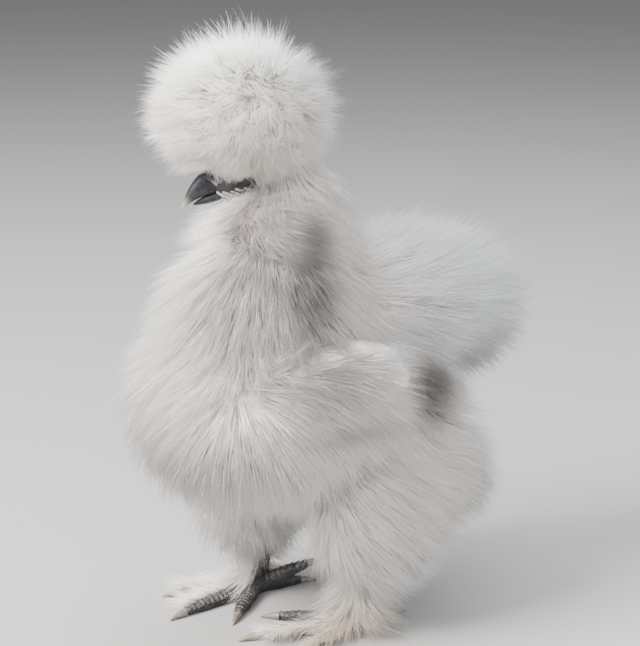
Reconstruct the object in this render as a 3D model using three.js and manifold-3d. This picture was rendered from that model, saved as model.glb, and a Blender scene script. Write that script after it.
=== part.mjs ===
// A silkie hen standing still, at life size, in millimetres.
// +Z is up, she faces -Y and her left side is towards +X. The origin is on the floor, under the middle of her
// box. Each part of the body is a core of ellipsoids. Flat, tapered locks of plumage grow out of the cores
// and overlap along the lie of the coat, out to the outline of the living bird.
import * as THREE from "three";
import { mergeVertices } from "three/addons/utils/BufferGeometryUtils.js";
import Module from "manifold-3d";

const wasm = await Module();
wasm.setup();

// Driving dimensions
const gap = 0.35;
const coreShare = 0.5;
const rootSink = 4;
const headTurn = 28;
const headNod = 16;
const mouthCorner = [-8.1, -17.5, 203];
const eyeRadius = 4.4;
const eyePlace = [-5, 11.6, 9.5];
const combBulbs = [
  [8.5, 2.6, 15, 3.1],
  [9.5, -2.4, 15.3, 2.9],
  [13.6, 2, 14.4, 2.6],
  [14.6, -1.8, 14, 2.5],
];
const beakLength = 24;
const toeScuteLength = 6.6;

// Colours
const plumageWhite = 0xe6e0d8;
const saddleWhite = 0xe2e2dd;
const skinSlate = 0x2c2a30;
const hornDark = 0x3d4046;
const clawHorn = 0x8f8778;
const eyeBlack = 0x0d0b0a;

const point = (x, y, z) => new THREE.Vector3(x, y, z);
const degrees = THREE.MathUtils.degToRad;
const mix = THREE.MathUtils.lerp;

// A seeded generator of even random numbers from 0 to 1
function randomFrom(seed) {
  let state = seed;
  return () => {
    state = (state * 1664525 + 1013904223) % 4294967296;
    return state / 4294967296;
  };
}

// A closed geometry as a solid that can be joined and cut
function solidOf(geometry) {
  geometry.deleteAttribute("normal");
  geometry.deleteAttribute("uv");
  const merged = mergeVertices(geometry, 1e-4);
  return new wasm.Manifold(
    new wasm.Mesh({
      numProp: 3,
      vertProperties: new Float32Array(merged.attributes.position.array),
      triVerts: new Uint32Array(merged.index.array),
    }),
  );
}

const join = (solids) => wasm.Manifold.union(solids);

// A closed skin over a row of rings, each a loop of points, with a fan over each end
function loft(rings) {
  const sides = rings[0].length;
  const places = rings.flat();
  const faces = [];
  for (let ring = 0; ring < rings.length - 1; ring++) {
    for (let side = 0; side < sides; side++) {
      const a = ring * sides + side;
      const b = ring * sides + ((side + 1) % sides);
      faces.push(a, b, b + sides, a, b + sides, a + sides);
    }
  }
  const last = (rings.length - 1) * sides;
  for (let side = 1; side < sides - 1; side++) {
    faces.push(0, side + 1, side);
    faces.push(last, last + side, last + side + 1);
  }
  const geometry = new THREE.BufferGeometry();
  geometry.setAttribute(
    "position",
    new THREE.BufferAttribute(new Float32Array(places.flatMap((p) => p.toArray())), 3),
  );
  geometry.setIndex(faces);
  const solid = solidOf(geometry);
  return solid.volume() > 0 ? solid : solidOf(turnedOut(geometry));
}

function turnedOut(geometry) {
  const index = geometry.index.array;
  for (let i = 0; i < index.length; i += 3) {
    [index[i + 1], index[i + 2]] = [index[i + 2], index[i + 1]];
  }
  return geometry;
}

// A round tube through rings of {at, radius}, flattened where it would pass through the floor
function tube(rings, sides, grow = 0) {
  const lowest = grow > 0 ? -grow : 0;
  const loops = rings.map((ring, i) => {
    const before = rings[Math.max(i - 1, 0)].at;
    const after = rings[Math.min(i + 1, rings.length - 1)].at;
    const along = after.clone().sub(before).normalize();
    const helper = Math.abs(along.z) > 0.8 ? point(0, 1, 0) : point(0, 0, 1);
    const across = new THREE.Vector3().crossVectors(helper, along).normalize();
    const over = new THREE.Vector3().crossVectors(along, across);
    const end = i === 0 ? -grow : i === rings.length - 1 ? grow : 0;
    return Array.from({ length: sides }, (_, side) => {
      const turn = (side / sides) * 2 * Math.PI;
      const place = ring.at.clone().addScaledVector(along, end);
      place.addScaledVector(across, Math.cos(turn) * (ring.radius + grow));
      place.addScaledVector(over, Math.sin(turn) * (ring.radius + grow));
      place.z = Math.max(place.z, lowest);
      return place;
    });
  });
  return loft(loops);
}

// The frame of the head, at the corner of the mouth: x leads out along the beak, y to her left and z up
const headFrame = new THREE.Matrix4()
  .makeRotationZ(degrees(-90 - headTurn))
  .multiply(new THREE.Matrix4().makeRotationY(degrees(headNod)))
  .setPosition(...mouthCorner);
const inHead = (x, y, z) => point(x, y, z).applyMatrix4(headFrame);

// An ellipsoid, turned by its frame
function ellipsoid(frame, centre, radii, detail = 3, grow = 0) {
  const geometry = new THREE.IcosahedronGeometry(1, detail);
  geometry.scale(radii[0] + grow, radii[1] + grow, radii[2] + grow);
  geometry.translate(...centre);
  geometry.applyMatrix4(frame);
  return solidOf(geometry);
}

// The masses of the body: each has its outline at the tips of the coat, and the depth of its coat.
// The core reaches from the skin to half the depth.
function mass(part, centre, outline, coat, turn = 0, detail = 3) {
  const frame = new THREE.Matrix4().makeRotationZ(degrees(turn)).setPosition(...centre);
  const radii = outline.map((r) => r - coat * coreShare);
  return { part, frame, inverse: frame.clone().invert(), radii, coat, detail };
}

const masses = [
  mass("crest", [-10, -21, 234], [43, 44, 38], 30, -headTurn, 2),
  mass("beard", [-8, -21, 187], [35, 34, 25], 22, -headTurn, 1),
  mass("neck", [-2, -3, 181], [32, 31, 46], 22, 0, 1),
  mass("neck", [0, -16, 150], [50, 52, 44], 26, 0, 2),
  mass("torso", [0, -22, 110], [63, 62, 54], 26, 0, 2),
  mass("torso", [0, 20, 108], [61, 64, 50], 26, 0, 2),
  mass("wing_left", [54, -2, 125], [15, 47, 32], 12, 0, 1),
  mass("wing_right", [-54, -2, 125], [15, 47, 32], 12, 0, 1),
  mass("cushion", [0, 52, 146], [50, 46, 38], 30, 0, 2),
  mass("cushion", [0, 24, 150], [45, 36, 34], 30, 0, 1),
  mass("tail", [0, 88, 138], [42, 44, 43], 40, 0, 2),
  mass("thigh_left", [32, 20, 57], [34, 42, 45], 28, 0, 2),
  mass("thigh_left", [38, 48, 73], [30, 36, 34], 28, 0, 1),
  mass("thigh_right", [-37, 3, 56], [32, 38, 45], 28, 0, 2),
  mass("thigh_right", [-38, 42, 73], [30, 36, 34], 28, 0, 1),
];

// About how far a point is outside the core of a mass
function outside(body, place) {
  const p = place.clone().applyMatrix4(body.inverse);
  const [a, b, c] = body.radii;
  const near = Math.hypot(p.x / a, p.y / b, p.z / c);
  const slope = Math.hypot(p.x / (a * a), p.y / (b * b), p.z / (c * c));
  return near < 1e-6 ? -Math.min(a, b, c) : (near * (near - 1)) / slope;
}

// The same for several cores together, with the creases between them filled
const creaseFill = 20;
function height(place, bodies) {
  let least = Infinity;
  for (const body of bodies) {
    const d = outside(body, place);
    const share = Math.max(creaseFill - Math.abs(least - d), 0) / creaseFill;
    least = Math.min(least, d) - (least === Infinity ? 0 : (share * share * creaseFill) / 4);
  }
  return least;
}

function outward(place, bodies) {
  const step = 0.5;
  const along = (axis) => {
    const ahead = place.clone();
    const behind = place.clone();
    ahead[axis] += step;
    behind[axis] -= step;
    return height(ahead, bodies) - height(behind, bodies);
  };
  return point(along("x"), along("y"), along("z")).normalize();
}

// A lock is a blade with a flat underside and a ridge along its back. It starts sunk in the core, follows the
// lie over the body, rises to the outline and ends in a point. Its stiffness is how much it keeps its own
// face as the body turns under it, and its steepest rise is for one step.
const lockWidths = [0.8, 1, 0.72];
const stiffness = 0.6;
const steepest = 9;
function lock(path, sides, width, thickness, grow) {
  const rings = lockWidths.map((share, i) => {
    const along = path[i + 1].clone().sub(path[Math.max(i - 1, 0)]).normalize();
    const across = sides[i].clone().addScaledVector(along, -sides[i].dot(along)).normalize();
    const over = new THREE.Vector3().crossVectors(along, across);
    const half = (width * share) / 2 + grow * 6;
    const place = path[i].clone().addScaledVector(along, i === 0 ? -grow : 0);
    return [
      place.clone().addScaledVector(across, -half).addScaledVector(over, -thickness * 0.35 - grow),
      place.clone().addScaledVector(across, half).addScaledVector(over, -thickness * 0.35 - grow),
      place.clone().addScaledVector(over, thickness * 0.65 * Math.sqrt(share) + grow * 1.6),
    ];
  });
  const last = path[lockWidths.length];
  const end = last.clone().sub(path[lockWidths.length - 1]).normalize();
  const tip = last.clone().addScaledVector(end, grow * 3);
  return loft([...rings, [tip, tip, tip]]);
}

// How the coat of each part lies: the point that it flows away from, a steady pull, the space between locks,
// and how long a lock is, how high its tip stands over the core, and how wide it is
const coats = {
  crest: { from: [-7, -13, 300], pull: [0, 0, -0.25], space: 11.5, long: 11, high: 18, wide: 18 },
  beard: { from: [-22, -44, 212], pull: [0, 0, -0.4], space: 13, long: 18, high: 12, wide: 17 },
  neck: { from: [-4, -12, 235], pull: [0, 0, -1], space: 18.5, long: 30, high: 14, wide: 26 },
  torso: { from: [0, -25, 195], pull: [0, 0, -0.4], space: 21, long: 32, high: 17, wide: 28 },
  wing_left: { from: [44, -60, 165], pull: [0, 0.2, -0.3], space: 16, long: 29, high: 7.5, wide: 21 },
  wing_right: { from: [-44, -60, 165], pull: [0, 0.2, -0.3], space: 16, long: 29, high: 7.5, wide: 21 },
  cushion: { from: [0, 0, 160], pull: [0, 0.5, 0], space: 18, long: 28, high: 17, wide: 24 },
  tail: { from: [0, 40, 160], pull: [0, 0.4, -0.3], space: 13.5, long: 23, high: 22, wide: 20 },
  thigh_left: { from: [40, -50, 108], pull: [0, 0.1, -0.15], space: 19.5, long: 26, high: 16, wide: 25 },
  thigh_right: { from: [-42, -54, 108], pull: [0, 0.1, -0.15], space: 19.5, long: 26, high: 16, wide: 25 },
};

// The way a coat lies at a place, a whole step long or less where it parts and stands up
const fullLean = 0.5;
const leastLean = 0.15;
function lie(coat, place, up) {
  const flow = place.clone().sub(point(...coat.from)).normalize().add(point(...coat.pull));
  flow.addScaledVector(up, -flow.dot(up));
  return flow.setLength(THREE.MathUtils.clamp(flow.length() / fullLean, leastLean, 1));
}

// Roots spread evenly over the open surface of a part's cores, clear of the floor
const rootsTried = 60;
const clearOfOwn = 1.5;
const clearOfOthers = 3.5;
const lowestRoot = 22;
function rootsOf(part, space, random) {
  const candidates = [];
  for (const body of masses.filter((m) => m.part === part)) {
    const [a, b, c] = body.radii;
    const count = Math.ceil(((a * b + b * c + a * c) / (space * space)) * rootsTried);
    for (let i = 0; i < count; i++) {
      const z = 1 - (2 * i + 1) / count;
      const ring = Math.sqrt(1 - z * z);
      const turn = i * Math.PI * (3 - Math.sqrt(5));
      const place = point(ring * Math.cos(turn) * a, ring * Math.sin(turn) * b, z * c);
      place.applyMatrix4(body.frame);
      const others = masses.filter((m) => m !== body);
      const open = others.every((m) => outside(m, place) > (m.part === part ? clearOfOwn : clearOfOthers));
      if (open && place.z > lowestRoot) {
        candidates.push({ place, order: random() });
      }
    }
  }
  candidates.sort((one, two) => one.order - two.order);
  const roots = [];
  for (const { place } of candidates) {
    if (roots.every((r) => r.distanceTo(place) > space)) {
      roots.push(place);
    }
  }
  return roots;
}

// The locks of a part, each as its own size and grown by the gap, so that what lies against it can be cut
// clear. A lock that would fold through itself is left out.
const lockThickness = 0.14;
const lowestTip = 5;
function coatOf(part, seed) {
  const coat = coats[part];
  const random = randomFrom(seed);
  const vary = (range) => 1 + (random() * 2 - 1) * range;
  const locks = [];
  const grown = [];
  const wing = part.startsWith("wing");
  const bodies = masses.filter((m) => (wing ? m.part === part : !m.part.startsWith("wing")));
  for (const root of rootsOf(part, coat.space, random)) {
    const long = coat.long * vary(0.15);
    const high = coat.high * vary(0.14);
    const sway = (random() * 2 - 1) * 0.16;
    const steps = lockWidths.length;
    const path = [];
    const sides = [];
    const up = outward(root, bodies);
    const place = root.clone().addScaledVector(up, -rootSink);
    for (let i = 0; i <= steps; i++) {
      path.push(place.clone());
      const along = lie(coat, place, up).applyAxisAngle(up, sway * (i / steps));
      sides.push(new THREE.Vector3().crossVectors(up, along).normalize());
      place.addScaledVector(along, long / steps);
      up.multiplyScalar(stiffness).addScaledVector(outward(place, bodies), 1 - stiffness).normalize();
      const wanted = mix(-rootSink, high, Math.pow((i + 1) / steps, 0.9));
      place.addScaledVector(up, THREE.MathUtils.clamp(wanted - height(place, bodies), -steepest, steepest));
      place.z = Math.max(place.z, lowestTip);
    }
    const thickness = coat.wide * lockThickness;
    const blade = lock(path, sides, coat.wide * vary(0.12), thickness, 0);
    const room = lock(path, sides, coat.wide * 1.12, thickness, gap);
    const folded = Math.abs(blade.subtract(room).volume()) > 0.01;
    if (!folded) {
      locks.push(blade);
      grown.push(room);
    }
  }
  return { locks, grown };
}

// The head, bare of its coat: skull, face, jaw, lids, comb, wattles and ear lobes
function flesh(grow) {
  const ball = (centre, radii, detail = 2) => ellipsoid(headFrame, centre, radii, detail, grow);
  const pieces = [
    ball([-10, 0, 12], [20, 14.2, 16]),
    ball([5, 0, 4.5], [12, 8.8, 8.8], 1),
    ball([1, 0, -3], [15, 7.4, 6.4], 1),
    ball([-12, 0, -6], [13, 10.5, 14], 1),
  ];
  for (const side of [-1, 1]) {
    const [x, y, z] = eyePlace;
    pieces.push(ball([x, side * y, z], Array(3).fill(eyeRadius + 1.5), 1));
    pieces.push(ball([5, side * 5.6, -8], [4.2, 2.2, 5.5], 1));
    pieces.push(ball([-14, side * 12.4, 1], [4, 2.6, 5.4], 1));
  }
  for (const [x, y, z, bulb] of combBulbs) {
    pieces.push(ball([x, y, z], Array(3).fill(bulb), 1));
  }
  return join(pieces);
}

function eyes(grow, detail) {
  const [x, y, z] = eyePlace;
  const radii = [eyeRadius, eyeRadius, eyeRadius];
  return [1, -1].map((side) => ellipsoid(headFrame, [x, side * y, z], radii, detail, grow));
}

// The slit between the lids, a lens that opens outwards over each eye
function lidSlits() {
  const [x, y, z] = eyePlace;
  const slit = [0.86, 0.7, 0.6].map((share) => share * eyeRadius);
  return [1, -1].map((side) => ellipsoid(headFrame, [x, side * (y + eyeRadius), z], slit, 1));
}

// Each half of the beak is a row of arched sections from its root in the face to its tip, flat along the seam
const seamFlat = 0.55;
function mandible(upper, grow) {
  const stations = 9;
  const sides = 10;
  const rootAt = upper ? 8.5 : 6;
  const length = upper ? beakLength : beakLength - 3;
  const rings = [];
  for (let i = 0; i < stations; i++) {
    const share = i / (stations - 1);
    const x = rootAt + length * share + (i === stations - 1 ? grow : i === 0 ? -grow : 0);
    const seam = 2 - (upper ? 3.4 : 2.2) * Math.pow(share, 4);
    const top = upper ? 13.6 - 14.2 * Math.pow(share, 2.6) : seam - 0.45;
    const bottom = upper ? seam : -3.4 + 2.2 * share * share;
    const half = (upper ? 5.2 : 4.6) * Math.pow(1 - share, 0.62) + 0.35;
    const middle = (top + bottom) / 2;
    const tall = Math.max(Math.abs(top - bottom) / 2, 0.3);
    rings.push(
      Array.from({ length: sides }, (_, side) => {
        const turn = (side / sides) * 2 * Math.PI;
        const lift = Math.sin(turn);
        const inner = upper ? lift < 0 : lift > 0;
        const flat = inner ? THREE.MathUtils.clamp(lift / seamFlat, -1, 1) : lift;
        return inHead(x, Math.cos(turn) * (half + grow), middle + flat * (tall + grow));
      }),
    );
  }
  return loft(rings);
}

function nostrils() {
  return [1, -1].map((side) => ellipsoid(headFrame, [16, side * 5, 7.4], [2.2, 1.5, 0.9], 1));
}

// The line of the mouth, a shallow groove from the beak back to its corner
function mouthGrooves() {
  return [1, -1].map((side) => {
    const groove = new THREE.BoxGeometry(16, 3.4, 0.7);
    groove.translate(6.5, side * 9.2, 1.7);
    groove.applyMatrix4(headFrame);
    return solidOf(groove);
  });
}

// The legs below the plumage: a shank, a pad and five toes, each toe a row of scutes on a small flat.
// Toes: name, turn outwards from straight ahead, length, and how far the tip is lifted off the floor
const toes = [
  { name: "inner", turn: -34, length: 33, lift: 0 },
  { name: "middle", turn: 0, length: 43, lift: 0 },
  { name: "outer", turn: 34, length: 35, lift: 0 },
  { name: "hind", turn: 198, length: 23, lift: 0 },
  { name: "fifth", turn: 228, length: 25, lift: 13 },
];
const legs = [
  { side: "left", outer: 1, ankle: [24, 12], turn: 20, hock: [27, 25, 52] },
  { side: "right", outer: -1, ankle: [-38, 4], turn: -6, hock: [-36, 17, 52] },
];
const padHeight = 5;
const toeRoot = 4.1;
const toeEnd = 2.9;
const toeArch = 0.25;
const toeFlat = 0.68;
const clawLength = 9;

// The line of a toe from the middle of the pad to its tip
function toeLine(leg, toe) {
  const ahead = degrees(-90 - leg.turn + leg.outer * toe.turn);
  const out = point(Math.cos(ahead), Math.sin(ahead), 0);
  const start = point(leg.ankle[0], leg.ankle[1], padHeight);
  const at = (share) => {
    const place = start.clone().addScaledVector(out, toe.length * share);
    place.z = mix(toeRoot, toeEnd, share) * toeFlat + Math.sin(share * Math.PI) * toeArch + toe.lift * share;
    return place;
  };
  return { at, out };
}

function toeTube(leg, toe, grow) {
  const line = toeLine(leg, toe);
  const scutes = Math.round(toe.length / toeScuteLength);
  const rings = [];
  for (let i = 0; i < scutes; i++) {
    const thick = mix(toeRoot, toeEnd, i / scutes);
    rings.push({ at: line.at(i / scutes), radius: thick * 0.92 });
    rings.push({ at: line.at((i + 0.78) / scutes), radius: thick * 1.06 });
  }
  rings.push({ at: line.at(1), radius: toeEnd * 0.86 });
  return tube(rings, 6, grow);
}

function claw(leg, toe, grow) {
  const line = toeLine(leg, toe);
  const last = line.at(1).sub(line.at(0.92)).normalize();
  const rings = [0, 0.4, 0.75, 1].map((share) => {
    const place = line.at(1).addScaledVector(last, gap + clawLength * share);
    place.z = Math.max(place.z - 1.2 * share * share, 0.9 - 0.4 * share);
    return { at: place, radius: mix(1.9, 0.45, Math.pow(share, 1.3)) };
  });
  return tube(rings, 6, grow);
}

// Feathers on the outer side of the shank and of the outer two toes, spread over the floor
function footLocks(leg, grow) {
  const random = randomFrom(leg.outer > 0 ? 71 : 72);
  const side = point(leg.outer, 0, 0).applyAxisAngle(point(0, 0, 1), degrees(-leg.turn));
  const made = [];
  const rows = [
    { toe: toes[1], shares: [0.35, 0.7], long: 24 },
    { toe: toes[2], shares: [0.1, 0.34, 0.58, 0.82], long: 30 },
  ];
  const blade = (root, out, long, wide, fall) => {
    const path = [0, 0.25, 0.5, 0.75, 1].map((share) => {
      const place = root.clone().addScaledVector(out, long * share);
      place.z = Math.max(root.z + Math.sin(share * Math.PI * 0.6) * 4 - fall * share * share, 2.4 - share);
      return place;
    });
    const across = new THREE.Vector3().crossVectors(point(0, 0, 1), out).normalize();
    made.push(lock(path, path.map(() => across), wide, 2.2, grow * 1.6));
  };
  for (const row of rows) {
    const line = toeLine(leg, row.toe);
    for (const share of row.shares) {
      const back = mix(0.9, -0.1, share) + (random() - 0.5) * 0.3;
      const out = side.clone().addScaledVector(line.out, -back).normalize();
      blade(line.at(share), out, row.long * (0.85 + random() * 0.3), 9, 8);
    }
  }
  for (let i = 0; i < 4; i++) {
    const share = (i + 0.5) / 4;
    const root = point(...leg.ankle, padHeight).lerp(point(...leg.hock), share * 0.55 + 0.06);
    const out = side.clone().applyAxisAngle(point(0, 0, 1), leg.outer * mix(-0.9, 1.1, ((i * 2) % 5) / 4));
    blade(root, out, 22 + random() * 5, 10, root.z * 0.75);
  }
  return made;
}

function foot(leg, grow) {
  const ankle = point(...leg.ankle, padHeight);
  const hock = point(...leg.hock);
  const shank = [0, 0.12, 0.5, 1].map((share) => ({
    at: ankle.clone().lerp(hock, share),
    radius: mix(5, 5.8, share),
  }));
  const level = new THREE.Matrix4();
  const pad = ellipsoid(level, [leg.ankle[0], leg.ankle[1], padHeight], [7, 7, padHeight - 0.2], 1, grow);
  const pieces = [tube(shank, 8, grow), pad, ...toes.map((toe) => toeTube(leg, toe, grow))];
  return join([...pieces, ...footLocks(leg, grow)]);
}

// Cores cut to stand clear of one another. A core gives way to those before it in this order.
const parts = Object.keys(coats);
const coreOrder = ["crest", "beard", "neck", "wing_left", "wing_right", "cushion", "tail", "torso"];
coreOrder.push("thigh_left", "thigh_right");
const rawCore = (part, grow) =>
  join(
    masses
      .filter((m) => m.part === part)
      .map((m) => ellipsoid(m.frame, [0, 0, 0], m.radii, m.detail, grow)),
  );

// The room that the coat leaves for the head and the beak, a little larger than they are
const headRoom = join([
  ellipsoid(headFrame, [-10, 0, 11], [21.5, 20, 18], 1, 1),
  ellipsoid(headFrame, [4, 0, -2], [18.5, 12.5, 14.5], 1, 1),
  ellipsoid(headFrame, [-12, 0, -4], [15, 17, 16.5], 1, 1),
  ellipsoid(headFrame, [13, 0, 9], [12, 8.5, 13], 1, 1),
  ellipsoid(headFrame, [24, 0, 3], [11, 6.5, 9], 1, 1),
]);
const clawsGrown = legs.map((leg) => join(toes.map((toe) => claw(leg, toe, gap))));
const feet = legs.map((leg, i) => foot(leg, 0).subtract(clawsGrown[i]));
const feetGrown = legs.map((leg) => foot(leg, gap));

// The slot over and under the beak, where the dark face shows
function faceSlot(above) {
  const slab = new THREE.BoxGeometry(60, 110, 40);
  slab.translate(24, 0, above ? -17.6 : 18);
  slab.applyMatrix4(headFrame);
  return solidOf(slab);
}

const cores = {};
coreOrder.forEach((part, i) => {
  const before = coreOrder.slice(0, i).map((other) => rawCore(other, gap));
  const fixed = [headRoom, ...feetGrown];
  if (part === "crest") fixed.push(faceSlot(true));
  if (part === "beard") fixed.push(faceSlot(false));
  cores[part] = rawCore(part, 0).subtract(join([...before, ...fixed]));
});

const largest = (solid) =>
  solid.decompose().reduce((best, body) => (body.volume() > best.volume() ? body : best));

// A lock gives way to every core but its own, and to the locks of the parts before it
const lockOrder = ["crest", "beard", "wing_left", "wing_right", "neck", "cushion", "tail", "torso"];
lockOrder.push("thigh_left", "thigh_right");
const coatsMade = {};
lockOrder.forEach((part, i) => {
  coatsMade[part] = coatOf(part, 11 + i);
});

function feathered(part) {
  const rank = lockOrder.indexOf(part);
  const inTheWay = [headRoom, ...feetGrown];
  for (const other of parts.filter((p) => p !== part)) {
    inTheWay.push(rawCore(other, gap));
  }
  for (const other of lockOrder.slice(0, rank)) {
    inTheWay.push(...coatsMade[other].grown);
  }
  if (part === "crest") inTheWay.push(faceSlot(true));
  if (part === "beard") inTheWay.push(faceSlot(false));
  const locks = join(coatsMade[part].locks).subtract(join(inTheWay));
  return largest(join([cores[part], locks]));
}

// The nodes
const bird = new THREE.Group();

function node(name, solid, color, roughness) {
  const made = largest(solid).getMesh();
  const geometry = new THREE.BufferGeometry();
  geometry.setAttribute("position", new THREE.BufferAttribute(new Float32Array(made.vertProperties), 3));
  geometry.setIndex(new THREE.BufferAttribute(new Uint32Array(made.triVerts), 1));
  const mesh = new THREE.Mesh(geometry, new THREE.MeshStandardMaterial({ color, roughness, metalness: 0 }));
  mesh.name = name;
  bird.add(mesh);
}

const beakCut = join([mandible(true, gap), mandible(false, gap)]);
const eyeCut = join([...eyes(gap * 1.5, 1), ...lidSlits()]);
node("head", flesh(0).subtract(join([beakCut, eyeCut, ...mouthGrooves()])), skinSlate, 0.6);
node("beak_upper", mandible(true, 0).subtract(join(nostrils())), hornDark, 0.35);
node("beak_lower", mandible(false, 0), hornDark, 0.35);
eyes(0, 2).forEach((eye, i) => node(["eye_left", "eye_right"][i], eye, eyeBlack, 0.05));
for (const part of parts) {
  const color = part === "cushion" || part === "tail" ? saddleWhite : plumageWhite;
  node(part, feathered(part), color, 0.9);
}
legs.forEach((leg, i) => {
  node("foot_" + leg.side, feet[i], skinSlate, 0.7);
  for (const toe of toes) {
    node("claw_" + leg.side + "_" + toe.name, claw(leg, toe, 0), clawHorn, 0.45);
  }
});

// The origin goes to the middle of the underside of the box that holds the bird
const box = new THREE.Box3().setFromObject(bird);
const middle = box.getCenter(new THREE.Vector3());
bird.position.set(-middle.x, -middle.y, -box.min.z);

export default bird;
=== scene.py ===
# A silkie hen at life size: her bare skin, her horn and eyes, and all of her soft, hair-like plumage.
import math
import bmesh
import bpy
import numpy as np
from mathutils import Matrix, Vector


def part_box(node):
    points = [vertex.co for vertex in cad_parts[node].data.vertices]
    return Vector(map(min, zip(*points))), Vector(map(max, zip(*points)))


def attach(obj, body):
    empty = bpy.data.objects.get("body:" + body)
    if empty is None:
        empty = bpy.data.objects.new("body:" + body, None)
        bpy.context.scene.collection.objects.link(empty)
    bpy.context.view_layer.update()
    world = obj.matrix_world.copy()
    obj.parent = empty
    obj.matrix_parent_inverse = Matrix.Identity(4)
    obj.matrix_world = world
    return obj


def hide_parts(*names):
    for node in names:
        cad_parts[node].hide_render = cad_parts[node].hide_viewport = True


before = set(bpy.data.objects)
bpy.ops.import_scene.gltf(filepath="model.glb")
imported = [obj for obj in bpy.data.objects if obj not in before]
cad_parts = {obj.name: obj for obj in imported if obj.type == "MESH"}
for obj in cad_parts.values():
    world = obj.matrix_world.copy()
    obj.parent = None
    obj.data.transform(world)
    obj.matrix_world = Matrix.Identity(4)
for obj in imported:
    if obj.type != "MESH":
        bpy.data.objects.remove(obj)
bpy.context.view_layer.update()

# The skin. One thin, pebbled, slate-black hide, bare at face and feet and downy under the plumage, is drawn
# over body, head and legs, with comb, lobes and wattles as its own folds. Sizes are in millimetres from the
# bird's own middle, and each finished mesh is brought home in metres.
mm = 0.001
eye_radius = 4.4
eye_place = Vector((-5, 11.6, 9.5))
mouth_corner = Vector((-8.1, -17.5, 203))
head_turn = math.radians(28)
head_nod = math.radians(16)
head_frame = (
    Matrix.Translation(mouth_corner)
    @ Matrix.Rotation(-math.pi / 2 - head_turn, 4, "Z")
    @ Matrix.Rotation(head_nod, 4, "Y")
)
left_eye_low, left_eye_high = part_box("eye_left")
bird_middle = (left_eye_low + left_eye_high) / 2 - (head_frame @ eye_place) * mm
bring_home = Matrix.Translation(bird_middle) @ Matrix.Scale(mm, 4)

# Each form of the plumage: its part, middle, radii out to the tips, depth of coat, and turn about the upright
plumage_forms = [
    ("crest", (-10, -21, 234), (43, 44, 38), 30, -28),
    ("beard", (-3, -12, 185), (32, 31, 25), 22, -28),
    ("neck", (-2, -3, 181), (32, 31, 46), 22, 0),
    ("neck", (0, -16, 150), (50, 52, 44), 26, 0),
    ("torso", (0, -22, 110), (63, 62, 54), 26, 0),
    ("torso", (0, 20, 108), (61, 64, 50), 26, 0),
    ("wing_left", (53, -11, 125), (15, 39, 21), 20, -11),
    ("wing_right", (-53, -11, 125), (15, 39, 21), 20, 11),
    ("cushion", (0, 52, 146), (50, 46, 38), 30, 0),
    ("cushion", (0, 24, 150), (45, 36, 34), 30, 0),
    ("tail", (0, 88, 138), (42, 44, 43), 40, 0),
    ("thigh_left", (32, 20, 57), (34, 42, 45), 28, 0),
    ("thigh_left", (38, 48, 73), (30, 36, 34), 28, 0),
    ("thigh_right", (-37, 3, 56), (32, 38, 45), 28, 0),
    ("thigh_right", (-38, 42, 73), (30, 36, 34), 28, 0),
]
# The skin lies this share of the coat's depth under the tips. It has the arms of the folded wings besides,
# and the drumsticks down to the hocks.
skin_depth = 0.52
flesh_forms = [
    ((45, -8, 124), (11, 32, 18)),
    ((-45, -8, 124), (11, 32, 18)),
    ((29, 24, 64), (13, 19, 25)),
    ((-35, 14, 64), (13, 19, 25)),
]
head_forms = [
    ((-10, 0, 12), (20, 14.2, 16)),
    ((5, 0, 4.5), (12, 8.8, 8.8)),
    ((1, 0, -3), (15, 7.4, 6.4)),
    ((-12, 0, -6), (13, 10.5, 14)),
]
comb_bulbs = [(8.5, 2.6, 15, 3.1), (9.5, -2.4, 15.3, 2.9), (13.6, 2, 14.4, 2.6), (14.6, -1.8, 14, 2.5)]
toes = [
    {"name": "inner", "turn": -34, "length": 33, "lift": 0},
    {"name": "middle", "turn": 0, "length": 43, "lift": 0},
    {"name": "outer", "turn": 34, "length": 35, "lift": 0},
    {"name": "hind", "turn": 198, "length": 23, "lift": 0},
    {"name": "fifth", "turn": 228, "length": 25, "lift": 13},
]
legs = [
    {"side": "left", "outer": 1, "ankle": (24, 12, 5), "turn": 20, "hock": (27, 25, 52)},
    {"side": "right", "outer": -1, "ankle": (-38, 4, 5), "turn": -6, "hock": (-36, 17, 52)},
]
toe_root = 4.1
toe_end = 2.9
toe_flat = 0.68


def toe_thick(share):
    return (toe_root + (toe_end - toe_root) * share) * (1 - 0.32 * max(share - 0.7, 0) / 0.3)


def foot_way(leg, turn=0):
    """The way a foot points, or the way that is turned outwards from it by this many degrees."""
    heading = math.radians(-90 - leg["turn"] + leg["outer"] * turn)
    return Vector((math.cos(heading), math.sin(heading), 0))


def toe_place(leg, toe, share):
    place = Vector(leg["ankle"]) + foot_way(leg, toe["turn"]) * toe["length"] * share
    place.z = (toe_root + (toe_end - toe_root) * share) * toe_flat + toe["lift"] * share
    return place


def add_ball(bm, axes, middle, radii, detail=3):
    shape = axes @ Matrix.Translation(middle) @ Matrix.Diagonal((*radii, 1))
    return bmesh.ops.create_icosphere(bm, subdivisions=detail, radius=1, matrix=shape)["verts"]


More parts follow.
